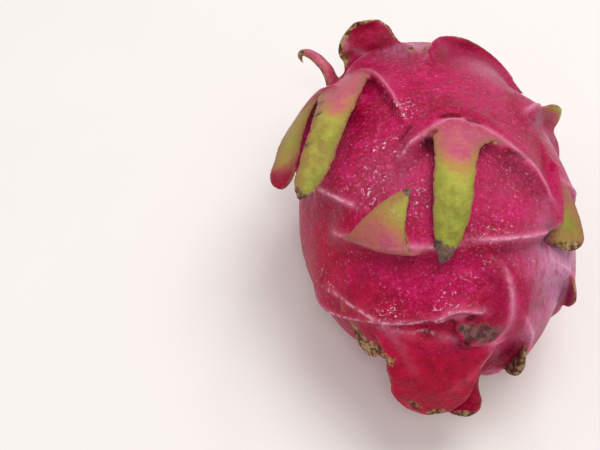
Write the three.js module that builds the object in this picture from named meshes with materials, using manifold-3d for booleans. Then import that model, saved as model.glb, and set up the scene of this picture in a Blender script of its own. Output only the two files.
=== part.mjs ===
// A whole red-fleshed dragon fruit, lying on its side on a small flat spot.
//
// Millimetres, +Z up. The fruit's long axis lies along Y, with the stem end at +Y and the flower end
// at -Y. The origin is the middle of the flat spot that the fruit rests on.
//
// The fruit is one grown body. Its rind swells into low shoulders that end in crests, and from each
// crest a thick leaf-like scale stands free. The dry stub of the cut stem sits in a hollow at the
// stem end, and the dry flower scar in the navel at the flower end.

import * as THREE from "three";
import { mergeVertices } from "three/addons/utils/BufferGeometryUtils.js";
import Module from "manifold-3d";

// ---------- sizes ----------

const HALF_WIDTH = 44.5; // along X
const HALF_LENGTH = 56; // along Y, from the middle to either end
const HALF_HEIGHT = 42; // along Z
const FLOWER_END_FULLNESS = 0.07; // how much wider the flower end is than the stem end
const FLAT_DEPTH = 1.6; // how much of the belly is pressed flat
const BODY_DETAIL = 14; // icosphere subdivisions of the rind

const STEM_HOLLOW = { depth: 5, spread: 9 };
const NAVEL = { depth: 7, spread: 8 };
const CUT_STEM = { radius: 4.6, reach: 3, dish: 0.7, ribs: 7, ribDepth: 0.5 };
const FLOWER_SCAR = { radius: 5.2, reach: -1.4, dish: 1.6, ribs: 9, ribDepth: 0.9 };
const STUB_FOOT = 12; // how far under the end of the body a dry piece starts
const STUB_BEVEL = { in: 0.9, down: 1.2 }; // of its outer rim
const PIECE_GAP = 0.3; // between the rind and the dry pieces that sit in it

const ROOT = 6; // length of a scale that is sunk in the rind
const BLADE_ROWS = 7;
const FOLDED_ROWS = 21; // of a blade that is folded sharply near its root
const TIP_CROWDING = 1.5; // how much closer together the rows stand towards the tip of the others
const BLADE_COLUMNS = 4;
const BLADE_EDGE = 0.8; // thickness of a scale at its margin
const TIP_THINNING = 0.45; // share of its thickness that a scale loses towards its tip
const CREST_DROP = 3.5; // how quickly the rind falls away below a crest
const SIDE_SOFTENING = 1.6; // how much less quickly towards the ends of the crest
const CREST_END = [0.6, 1.15]; // where a shoulder dies out, in reaches to the side
const NEAR_SIDE = 0.2; // shoulders past this cosine can't reach a point

// ---------- small mathematics ----------

const radians = THREE.MathUtils.degToRad;
const { clamp, smoothstep } = THREE.MathUtils;

// Park and Miller's generator: the same draws on every run.
function seededDraw(seed) {
  let state = seed;
  return (low, high) => {
    state = (state * 16807) % 2147483647;
    return low + ((high - low) * state) / 2147483647;
  };
}

// ---------- the smooth body under the scales ----------

// A unit vector: "along" runs in mm from the middle towards the flower end, and "turn" in degrees
// round the fruit from its top towards +X.
function directionAt(along, turn) {
  const y = clamp(-along / HALF_LENGTH, -1, 1);
  const ring = Math.sqrt(1 - y * y);
  return new THREE.Vector3(
    ring * Math.sin(radians(turn)),
    y,
    ring * Math.cos(radians(turn)),
  );
}

function smoothBody(v) {
  const girth = 1 - FLOWER_END_FULLNESS * v.y;
  return new THREE.Vector3(
    HALF_WIDTH * girth * v.x,
    HALF_LENGTH * v.y,
    HALF_HEIGHT * girth * v.z,
  );
}

function outward(v) {
  return new THREE.Vector3(
    v.x / HALF_WIDTH,
    v.y / HALF_LENGTH,
    v.z / HALF_HEIGHT,
  ).normalize();
}

// The local frame of a scale on the rind: x runs the way the scale points, y across it.
function frameOf({ along, turn, heading }) {
  const origin = directionAt(along, turn);
  const ring = radians(turn);
  const round = new THREE.Vector3(Math.cos(ring), 0, -Math.sin(ring));
  round.applyAxisAngle(origin, radians(heading));
  const down = new THREE.Vector3().crossVectors(round, origin);
  const perRadian = (t) =>
    Math.hypot(HALF_WIDTH * t.x, HALF_LENGTH * t.y, HALF_HEIGHT * t.z);
  return {
    origin,
    round,
    down,
    downScale: perRadian(down),
    roundScale: perRadian(round),
  };
}

// From frame coordinates to a direction, and back.
function toDirection(frame, x, y) {
  const a = x / frame.downScale;
  const b = y / frame.roundScale;
  const angle = Math.hypot(a, b);
  if (angle < 1e-9) return frame.origin.clone();
  return frame.origin
    .clone()
    .multiplyScalar(Math.cos(angle))
    .addScaledVector(frame.down, (a / angle) * Math.sin(angle))
    .addScaledVector(frame.round, (b / angle) * Math.sin(angle));
}

function toFrame(frame, v) {
  const angle = Math.acos(clamp(v.dot(frame.origin), -1, 1));
  const spread = angle < 1e-6 ? 1 : angle / Math.sin(angle);
  return [
    v.dot(frame.down) * spread * frame.downScale,
    v.dot(frame.round) * spread * frame.roundScale,
  ];
}

// ---------- the scales ----------

// Each scale: where it grows; its blade's width and length; its heading in the rind (0 runs to the
// flower end, positive turns to +X at the top) and the further angle that it bends sideways; the
// lift at which it leaves the rind; the further angle that it curls away from it, reached after the
// share "fold" of its length; the roll that lifts one of its margins by the tip; how blunt it is (1
// is a triangle, 4 a strap with a round end), and where between its margins the tip points, from -1
// at the left to 1 at the right; and the shoulder behind it: how high it swells, and how far its
// crest reaches to each side, sweeps down the fruit there, and with what bow (under 1 it drops first
// and then runs level). Near the root a blade flares out to its left and right, and the flare fades.
// A length of 0 is a bare ledge.
const SCALE = {
  heading: 0,
  bend: 0,
  lift: 12,
  curl: 10,
  fold: 1,
  roll: 0,
  blunt: 2,
  lean: 0,
  thick: 3.2,
  flare: [4, 4],
  fade: 4,
  swell: 4,
  rise: 26,
  left: [20, 8, 1.5],
  right: [20, 8, 1.5],
};

const LISTED = [
  // the long green strap in the middle of the upper side
  { along: -0.5, turn: 2.6, width: 12.3, length: 50, heading: -9.8, bend: -2.5, lift: 5, curl: -6,
    blunt: 4, lean: -0.25, flare: [4.5, 26], fade: 3.3, left: [16, 12, 1.3], right: [36, 18, 1.6],
    swell: 5 },
  // the broad strap on the left shoulder, rolled up off the rind along its outer side
  { along: -35.8, turn: -38.5, width: 9.8, length: 60, heading: 6, bend: -35, lift: 9, curl: 6,
    roll: 48, blunt: 11, lean: -0.35, flare: [17.5, 0.5], fade: 14, left: [16, -9, 1],
    right: [17, 30, 1.5] },
  // the narrow one outside it
  { along: -29.5, turn: -64, width: 8.8, length: 44, heading: 7.5, bend: -4, lift: 7, curl: 4,
    roll: 45, blunt: 13, flare: [0.5, 3], swell: 8 },
  // the slender hooked tip above them
  { along: -42, turn: -73, width: 6.6, length: 33, heading: -86, bend: -40, lift: 144, curl: -156,
    blunt: 0.7, flare: [0.5, 3] },
  // two broad flaps standing up at the stem end
  { along: -49, turn: -38, width: 20, length: 14, lift: 62, curl: 20, blunt: 5, swell: 5.5 },
  { along: -46, turn: 34, width: 32, length: 4.2, lift: 56, curl: 10, blunt: 4, flare: [4, 9],
    right: [25, 10, 1.5], swell: 6 },
  // the small curled tip on the right shoulder
  { along: -21, turn: 65.5, width: 10, length: 7, lift: 72, curl: 30, blunt: 3, thick: 4.4 },
  // the tip that is folded back over its own shoulder
  { along: 31, turn: -34, width: 22, length: 24, heading: -32, bend: -31, lift: 10, curl: 176, fold: 0.2,
    blunt: 0.65, thick: 2.2, left: [20, 2, 1.5], right: [24, -5, 1] },
  // the gutter-shaped one low on the right
  { along: 12, turn: 47.5, width: 11.5, length: 23.5, heading: 15, lift: 3, curl: 8, roll: -44,
    blunt: 9, flare: [0, 0], left: [36, 19.5, 0.12], right: [16, 6, 1.5], swell: 3 },
  { along: 32.5, turn: 86, width: 14, length: 7, lift: 24, curl: 10, blunt: 4, thick: 2.2, swell: 3 },
  // the broad shell-shaped one near the flower end
  { along: 50, turn: 35, width: 12.5, length: 16.5, heading: -78, bend: 25, lift: 6, curl: 6,
    roll: -30, blunt: 8, flare: [10, 4], fade: 6, left: [16, 6, 1.5], right: [20, 10, 1.5] },
  // the ragged one beside it
  { along: 46, turn: -56, width: 22, length: 17, heading: -70, lift: 8, curl: -4, blunt: 1.5,
    left: [20, 6, 1.5], right: [14, 6, 1.5], swell: 3 },
  // the wide blunt one that hangs over the navel, and its neighbour across the navel
  { along: 52, turn: -22, width: 21, length: 28, heading: -27, lift: 34, curl: -14, blunt: 7,
    flare: [15, 10], fade: 7.5, left: [20, 4, 1.5], right: [20, 4, 1.5] },
  { along: 54, turn: 185, width: 15, length: 15.5, heading: -20, lift: 75, curl: -22, blunt: 5,
    left: [16, 4, 1.5], right: [16, 4, 1.5], swell: 3 },
  { along: 50, turn: 106, width: 13, length: 8.5, lift: 30, curl: 20, blunt: 2.4 },
  // bare ledges: below the tip of the broad strap, and from the left flank to the shell-shaped one
  { along: 11, turn: -50, length: 0, heading: -40, left: [12, 0, 1], right: [11, 0, 1], swell: 3 },
  { along: 45, turn: -60, length: 0, heading: -30, left: [28, -2, 1], right: [30, 5, 1.5], swell: 4.5 },
  // the small lip of skin over the tip of the shell-shaped one
  { along: 48, turn: -5, length: 0, heading: 0, left: [8, 4, 2], right: [8, 2.5, 2], swell: 5.8,
    rise: 6 },
  // the collar round the stem hollow
  { along: -51, turn: 5, length: 0, heading: 180, left: [34, 0, 1], right: [34, 0, 1], swell: 5.5,
    rise: 34 },
];

// The other scales, on the side that faces down and to the stem end, follow a spiral along the
// fruit, a golden angle apart, and stay clear of the ones above.
const GOLDEN_ANGLE = 137.508;
const SPIRAL = { seed: 7, count: 30, start: 100, span: 0.93, clearance: 21 };
const UNDERSIDE = new THREE.Vector3(0, 0.5, -0.85);
const WELL_UNDER = 0.345; // how far round to the underside the spiral starts
const PRESSED = { lift: 4, curl: -8 }; // the scales under the fruit lie close to it

const skinDistance = (a, b) =>
  smoothBody(directionAt(a.along, a.turn)).distanceTo(
    smoothBody(directionAt(b.along, b.turn)),
  );

function spiralScales() {
  const draw = seededDraw(SPIRAL.seed);
  const grown = [];
  for (let i = 0; i < SPIRAL.count; i++) {
    const share = (i + 0.5) / SPIRAL.count;
    const scale = {
      along: HALF_LENGTH * SPIRAL.span * (2 * share - 1),
      turn: SPIRAL.start + GOLDEN_ANGLE * i,
      width: draw(11, 17),
      length: draw(15, 19) + 12 * share,
      heading: draw(-18, 18),
      lift: draw(10, 30),
      curl: draw(-10, 40),
      blunt: draw(1.2, 3.2),
    };
    const v = directionAt(scale.along, scale.turn);
    if (v.z < 0) Object.assign(scale, PRESSED);
    const clear = LISTED.every((s) => skinDistance(s, scale) > SPIRAL.clearance);
    if (clear && v.dot(UNDERSIDE) > WELL_UNDER) grown.push(scale);
  }
  return grown;
}

const scales = [...LISTED, ...spiralScales()].map((s) => ({
  ...SCALE,
  ...s,
  frame: frameOf({ ...SCALE, ...s }),
}));

// How far down the fruit the crest of a shoulder has swept at the distance y to the side.
function sweepAt(scale, y) {
  const [reach, sweep, bow] = y < 0 ? scale.left : scale.right;
  return sweep * Math.min(Math.abs(y) / reach, 1.2) ** bow;
}

// How high the shoulder of one scale stands over the smooth body at frame coordinates x, y.
function shoulderHeight(scale, x, y) {
  const [reach] = y < 0 ? scale.left : scale.right;
  const side = Math.abs(y) / reach;
  const past = x - sweepAt(scale, y); // distance below the crest
  const rise =
    past < 0
      ? Math.max(0, 1 + past / scale.rise) ** 2
      : 1 - smoothstep(past, 0, CREST_DROP * (1 + SIDE_SOFTENING * side));
  return scale.swell * rise * (1 - smoothstep(side, ...CREST_END));
}

// Overlapping shoulders merge instead of piling up.
function reliefAt(v) {
  let sum = 0;
  for (const scale of scales)
    if (v.dot(scale.frame.origin) > NEAR_SIDE)
      sum += shoulderHeight(scale, ...toFrame(scale.frame, v)) ** 4;
  const ends = v.y > 0 ? STEM_HOLLOW : NAVEL;
  const fromEnd = HALF_WIDTH * Math.acos(Math.abs(v.y));
  return sum ** 0.25 - ends.depth * Math.exp(-((fromEnd / ends.spread) ** 2));
}

// ---------- solids ----------

const wasm = await Module();
wasm.setup();

function solidFrom(geometry) {
  const bare = new THREE.BufferGeometry();
  bare.setAttribute("position", geometry.getAttribute("position"));
  bare.setIndex(geometry.getIndex());
  const merged = mergeVertices(bare, 1e-4);
  return new wasm.Manifold(
    new wasm.Mesh({
      numProp: 3,
      vertProperties: new Float32Array(merged.attributes.position.array),
      triVerts: new Uint32Array(merged.index.array),
    }),
  );
}

function geometryFrom(solid) {
  const mesh = solid.getMesh();
  const geometry = new THREE.BufferGeometry();
  geometry.setAttribute(
    "position",
    new THREE.BufferAttribute(new Float32Array(mesh.vertProperties), 3),
  );
  geometry.setIndex(new THREE.BufferAttribute(new Uint32Array(mesh.triVerts), 1));
  geometry.computeVertexNormals();
  return geometry;
}

const centre = new THREE.Vector3(0, 0, HALF_HEIGHT - FLAT_DEPTH);

function rind(grown = 0) {
  const geometry = new THREE.IcosahedronGeometry(1, BODY_DETAIL);
  const position = geometry.getAttribute("position");
  const v = new THREE.Vector3();
  for (let i = 0; i < position.count; i++) {
    v.fromBufferAttribute(position, i).normalize();
    const p = smoothBody(v).addScaledVector(outward(v), reliefAt(v) + grown).add(centre);
    position.setXYZ(i, p.x, p.y, p.z);
  }
  return solidFrom(geometry);
}

// The rows of a blade from its sunk root to its tip, in frame coordinates.
function spineOf(scale, rows) {
  const total = ROOT + scale.length;
  const start = radians(scale.lift);
  let x = -ROOT * Math.cos(start);
  let y = 0;
  let veer = 0;
  let h = scale.swell - scale.thick / 2 - ROOT * Math.sin(start);
  const spine = [];
  const steps = 8 * rows;
  const step = total / steps;
  const crowding = scale.fold < 1 ? 1 : TIP_CROWDING;
  const place = (row) => Math.round(steps * (1 - (1 - row / rows) ** crowding));
  for (let i = 0; i <= steps; i++) {
    const s = i * step - ROOT; // distance beyond the crest
    const free = clamp(s / scale.length, 0, 1);
    const pitch = start + radians(scale.curl) * smoothstep(free, 0, scale.fold);
    if (i === place(spine.length)) spine.push({ s, x, y, h, pitch, veer, free });
    veer = radians(scale.bend) * free;
    const shrink = 1 / (1 + Math.max(h, 0) / HALF_WIDTH); // arcs grow with height over the rind
    x += step * Math.cos(pitch) * Math.cos(veer) * shrink;
    y += step * Math.cos(pitch) * Math.sin(veer) * shrink;
    h += step * Math.sin(pitch);
  }
  return spine;
}

const nearRoot = (scale, row) => Math.exp(-Math.abs(row.s) / scale.fade);

// How far to the side a blade's outline lies from its spine: "across" is -1 at its left margin and
// 1 at its right one.
function reachAt(scale, row, across) {
  const taper = Math.max(1 - row.free ** (1.2 * scale.blunt), 0.02) ** 0.75;
  const flare = scale.flare[across < 0 ? 0 : 1] * nearRoot(scale, row);
  const half = scale.width / 2;
  return (half * taper + flare) * across + scale.lean * (1 - taper) * half;
}

function bladePoint(scale, row, across, side) {
  const body = scale.thick * (1 - TIP_THINNING * row.free);
  const thick = BLADE_EDGE + (body - BLADE_EDGE) * (1 - across * across);
  const roll = radians(scale.roll) * row.free;
  const reach = reachAt(scale, row, across);
  const lateral = reach * Math.cos(roll);
  const normal = (side * thick) / 2;
  const shrink = 1 / (1 + Math.max(row.h, 0) / HALF_WIDTH);
  const back = -Math.sin(row.pitch) * normal;
  const drop = sweepAt(scale, reach) * nearRoot(scale, row); // the root follows the crest
  const x =
    row.x + drop + (back * Math.cos(row.veer) - lateral * Math.sin(row.veer)) * shrink;
  const y =
    row.y + (back * Math.sin(row.veer) + lateral * Math.cos(row.veer)) * shrink;
  const h = row.h + Math.cos(row.pitch) * normal - reach * Math.sin(roll);
  const v = toDirection(scale.frame, x, y);
  return smoothBody(v).addScaledVector(outward(v), h).add(centre);
}

// A closed slab: the outer face, the inner face, and the narrow band that joins their rims.
function blade(scale) {
  const count = scale.fold < 1 ? FOLDED_ROWS : BLADE_ROWS;
  const rows = spineOf(scale, count);
  const points = [];
  for (const side of [1, -1])
    for (const row of rows)
      for (let c = 0; c <= BLADE_COLUMNS; c++)
        points.push(bladePoint(scale, row, (2 * c) / BLADE_COLUMNS - 1, side));
  const stride = BLADE_COLUMNS + 1;
  const face = rows.length * stride;
  const at = (side, r, c) => side * face + r * stride + c;
  const triangles = [];
  const quad = (a, b, c, d) => triangles.push(a, b, c, a, c, d);
  for (let r = 0; r < count; r++)
    for (let c = 0; c < BLADE_COLUMNS; c++) {
      quad(at(0, r, c), at(0, r + 1, c), at(0, r + 1, c + 1), at(0, r, c + 1));
      quad(at(1, r, c), at(1, r, c + 1), at(1, r + 1, c + 1), at(1, r + 1, c));
    }
  for (let r = 0; r < count; r++) {
    quad(at(0, r + 1, 0), at(0, r, 0), at(1, r, 0), at(1, r + 1, 0));
    const e = BLADE_COLUMNS;
    quad(at(0, r, e), at(0, r + 1, e), at(1, r + 1, e), at(1, r, e));
  }
  for (let c = 0; c < BLADE_COLUMNS; c++) {
    quad(at(0, 0, c), at(0, 0, c + 1), at(1, 0, c + 1), at(1, 0, c));
    const e = count;
    quad(at(0, e, c + 1), at(0, e, c), at(1, e, c), at(1, e, c + 1));
  }
  const geometry = new THREE.BufferGeometry().setFromPoints(points);
  geometry.setIndex(triangles);
  return solidFrom(geometry);
}

function fruit() {
  let solid = rind();
  for (const scale of scales.filter((s) => s.length > 0)) solid = solid.add(blade(scale));
  const size = 4 * HALF_LENGTH;
  const ground = new THREE.BoxGeometry(size, size, size).translate(0, 0, -size / 2);
  return solid.subtract(solidFrom(ground));
}

// A dry, ribbed stub in the hollow at one end: "end" is 1 at the stem and -1 at the flower. Its foot
// follows the hollow, and its outer face is dished and stands "reach" beyond the end of the body.
function stub({ radius, reach, dish, ribs, ribDepth }, end) {
  const outer = HALF_LENGTH + reach;
  const inner = HALF_LENGTH - STUB_FOOT;
  const profile = [
    [0, inner],
    [radius, inner],
    [radius, outer - STUB_BEVEL.down],
    [radius - STUB_BEVEL.in, outer],
    [0.5 * radius, outer - 0.7 * dish],
    [0, outer - dish],
  ].map(([r, y]) => new THREE.Vector2(r, y));
  const geometry = new THREE.LatheGeometry(profile, 4 * ribs);
  const position = geometry.getAttribute("position");
  for (let i = 0; i < position.count; i++) {
    const [x, y, z] = [position.getX(i), position.getY(i), position.getZ(i)];
    const r = Math.hypot(x, z);
    const rib = r > 0.7 * radius ? ribDepth * Math.cos(ribs * Math.atan2(x, z)) : 0;
    const grow = r > 0 ? 1 + rib / r : 1;
    position.setXYZ(i, x * grow, y > inner ? y + 0.6 * rib : y, z * grow);
  }
  if (end < 0) geometry.rotateX(Math.PI);
  geometry.translate(centre.x, centre.y, centre.z);
  return solidFrom(geometry).subtract(rind(PIECE_GAP));
}

const part = new THREE.Group();

function add(name, solid, color, roughness) {
  const material = new THREE.MeshStandardMaterial({ color, roughness, metalness: 0 });
  const mesh = new THREE.Mesh(geometryFrom(solid), material);
  mesh.name = name;
  part.add(mesh);
}

add("fruit", fruit(), 0xc4245c, 0.45);
add("cut_stem", stub(CUT_STEM, 1), 0x8a7552, 0.85);
add("flower_scar", stub(FLOWER_SCAR, -1), 0x6b5640, 0.9);

export default part;
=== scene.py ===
"""The looks of a whole dragon fruit lying on its side.

One piece is the fruit, its scales grown from the rind; two small ones are the dry stub of the stem
and the dry flower scar. Shapes are worked out in millimetres, and meshes are made in metres.
"""

import math

import bpy
import numpy as np
from mathutils import Matrix
from mathutils.bvhtree import BVHTree


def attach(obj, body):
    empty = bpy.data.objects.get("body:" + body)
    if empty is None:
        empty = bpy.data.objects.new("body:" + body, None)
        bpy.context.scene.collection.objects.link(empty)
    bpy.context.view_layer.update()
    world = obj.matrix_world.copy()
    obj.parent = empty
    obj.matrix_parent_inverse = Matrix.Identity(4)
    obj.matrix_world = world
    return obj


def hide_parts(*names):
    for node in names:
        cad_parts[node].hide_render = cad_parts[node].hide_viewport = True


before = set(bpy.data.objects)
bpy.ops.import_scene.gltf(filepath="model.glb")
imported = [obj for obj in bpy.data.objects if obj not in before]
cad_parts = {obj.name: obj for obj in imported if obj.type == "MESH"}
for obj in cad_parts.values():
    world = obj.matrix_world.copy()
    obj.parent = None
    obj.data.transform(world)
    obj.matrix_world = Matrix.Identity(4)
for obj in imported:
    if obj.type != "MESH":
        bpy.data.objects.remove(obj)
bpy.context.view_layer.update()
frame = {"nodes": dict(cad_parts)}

# --- sizes shared with the part, in millimetres ---

HALF_WIDTH, HALF_LENGTH, HALF_HEIGHT = 44.5, 56.0, 42.0  # along X, Y and Z, from the middle
FLOWER_END_FULLNESS = 0.07  # share added to the girth at the flower end, and lost at the other
FLAT_DEPTH = 1.6  # how much of the belly is pressed flat
STEM_HOLLOW = dict(depth=5.0, spread=9.0)
NAVEL = dict(depth=7.0, spread=8.0)
CUT_STEM = dict(radius=4.6, reach=3.0, dish=0.7, ribs=7, rib_depth=0.5)
FLOWER_SCAR = dict(radius=5.2, reach=-1.4, dish=1.6, ribs=9, rib_depth=0.9)
ROOT = 6.0  # length of a scale sunk in the rind
BLADE_EDGE = 0.8  # thickness of a scale at its margin
TIP_THINNING = 0.45  # share of its thickness lost at its tip
CREST_DROP = 3.5  # how far past a crest the rind falls away
SIDE_SOFTENING = 1.6  # how much further towards the ends of the crest
CREST_END = (0.6, 1.15)  # where a shoulder dies out, in reaches to the side
SWEEP_END = 1.2  # where a crest stops sweeping down, in reaches to the side
NEAR_SIDE = 0.2  # cosine of the angle from a scale to the furthest rind that it shapes
MERGE_POWER = 4  # how sharply one shoulder takes over from the next
SEMI_AXES = np.array([HALF_WIDTH, HALF_LENGTH, HALF_HEIGHT])
CENTRE = np.array([0.0, 0.0, HALF_HEIGHT - FLAT_DEPTH])
METRE = 0.001

# --- fineness of the visible surface ---

RIND_CELLS = 170  # along each side of the six-sided grid that wraps the rind
SEAM_DECIMALS = 6  # what counts as one point where its sides meet
BLADE_ROWS, BLADE_COLUMNS = 64, 20
SPINE_STEPS = 6  # from one row of a blade to the next
VOXEL = 0.45  # mm
MOST_TRIANGLES = 190_000
STUB_TURNS, STUB_RINGS = 96, 40
POLE_WELD = 0.005  # mm: joins the points at the ends of a stub

# --- small mathematics ---


def smoothstep(x, low, high):
    t = np.clip((x - low) / (high - low), 0, 1)
    return t * t * (3 - 2 * t)


def unit(v):
    return v / np.linalg.norm(v, axis=-1, keepdims=True)


def bell(x):
    return np.exp(-(x**2))


def cells_of(rows, columns):
    """The row and the column of each cell of a grid."""
    return np.indices((rows, columns)).reshape(2, -1)


def grid_quads(rows, columns):
    """The quads of a grid, whose points are numbered along its rows."""
    row, column = cells_of(rows, columns)
    a = row * (columns + 1) + column
    return np.stack([a, a + columns + 1, a + columns + 2, a + 1], -1)


MULTIPLIER, MODULUS = 16807, 2147483647


def seeded_draw(seed):
    """Park and Miller's generator."""
    state = seed

    def draw(low, high):
        nonlocal state
        state = (state * MULTIPLIER) % MODULUS
        return low + ((high - low) * state) / MODULUS

    return draw


LATTICE_CELLS = 32
LATTICE = np.random.default_rng(11).random((LATTICE_CELLS,) * 3) * 2 - 1
SEED_SHIFT, FAR_SHIFT = 13.7, 500  # cells


def noise(points, pitch, seed=0):
    """Smooth noise from -1 to 1 at points (n, 3), with cells of the given pitch."""
    p = points / pitch + SEED_SHIFT * seed + FAR_SHIFT
    cell = np.floor(p).astype(int)
    t = p - cell
    t = t * t * (3 - 2 * t)
    total = 0
    for step in np.ndindex(2, 2, 2):
        x, y, z = ((cell + step) % LATTICE_CELLS).T
        wx, wy, wz = np.where(step, t, 1 - t).T
        total = total + LATTICE[x, y, z] * wx * wy * wz
    return total


# --- the smooth body under the scales ---


def direction_at(along, turn):
    """From mm along to the flower end and degrees round from the top."""
    y = min(max(-along / HALF_LENGTH, -1), 1)
    ring = math.sqrt(1 - y * y)
    return np.array([ring * math.sin(math.radians(turn)), y, ring * math.cos(math.radians(turn))])


def smooth_body(v):
    girth = 1 - FLOWER_END_FULLNESS * v[..., 1]
    return v * np.stack([HALF_WIDTH * girth, HALF_LENGTH + 0 * girth, HALF_HEIGHT * girth], -1)


def outward(v):
    return unit(v / SEMI_AXES)


def direction_of(points):
    """The direction of a point of the surface, near enough for patterns."""
    v = (points - CENTRE) / SEMI_AXES
    girth = 1 - FLOWER_END_FULLNESS * np.clip(v[:, 1], -1, 1)
    return unit(v / np.stack([girth, 1 + 0 * girth, girth], -1))


def above_floor(points):
    return np.maximum(points, [-np.inf, -np.inf, 0])


def frame_of(scale):
    """A scale's frame on the rind: x runs the way it points, y across it."""
    origin = direction_at(scale["along"], scale["turn"])
    ring, heading = math.radians(scale["turn"]), math.radians(scale["heading"])
    level = np.array([math.cos(ring), 0, -math.sin(ring)])
    around = level * math.cos(heading) + np.cross(origin, level) * math.sin(heading)
    down = np.cross(around, origin)
    around_scale, down_scale = (np.linalg.norm(SEMI_AXES * way) for way in (around, down))
    return dict(origin=origin, around=around, down=down, around_scale=around_scale,
                down_scale=down_scale)


def to_direction(frame, x, y):
    a, b = x / frame["down_scale"], y / frame["around_scale"]
    angle = np.maximum(np.hypot(a, b), 1e-9)
    share = np.sin(angle) / angle
    return (
        frame["origin"] * np.cos(angle)[..., None]
        + frame["down"] * (a * share)[..., None]
        + frame["around"] * (b * share)[..., None]
    )


def to_frame(frame, v):
    angle = np.arccos(np.clip(v @ frame["origin"], -1, 1))
    spread = np.where(angle < 1e-6, 1, angle / np.maximum(np.sin(angle), 1e-9))
    x = (v @ frame["down"]) * spread * frame["down_scale"]
    y = (v @ frame["around"]) * spread * frame["around_scale"]
    return x, y


# --- the scales ---

# A scale: where it grows; its blade's width and length; its heading and how far it bends sideways;
# its lift from the rind and how far it curls on, within the share "fold" of its length; the roll
# that lifts one margin; how blunt it is; where its tip points ("lean", -1 at the left margin to 1);
# its thickness; how far its root flares to the left and right, and over what length that fades; and
# the shoulder behind it: its height, the length over which it rises, and how far its crest reaches
# to either side, sweeps down, and with what bow.
# The finish: where along a blade it turns green and is green, and where it turns "back"; how green
# it gets; how "tan" and wide its dry margins are; where its tip is "dry" and how gray; how much pink
# lingers ("blush", at the left or, below 0, the right); how much deeper "red" or browner ("shade")
# it is; how far its margins "ruffle" and its face "crumples"; and its withered spots: distance
# along, share across, radius.
SCALE = dict(
    heading=0, bend=0, lift=12, curl=10, fold=1, roll=0, blunt=2, lean=0, thick=3.2, flare=(4, 4),
    fade=4, swell=4, rise=26, left=(20, 8, 1.5), right=(20, 8, 1.5), width=0,
    turns=(0.05, 0.45), back=(3, 4), green=0.8, tan=0.6, margins=(0.9, 0.9), dry=0.92, gray=0.3,
    blush=0, red=0, shade=0, ruffle=0.5, crumple=0, spots=(),
)

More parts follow.
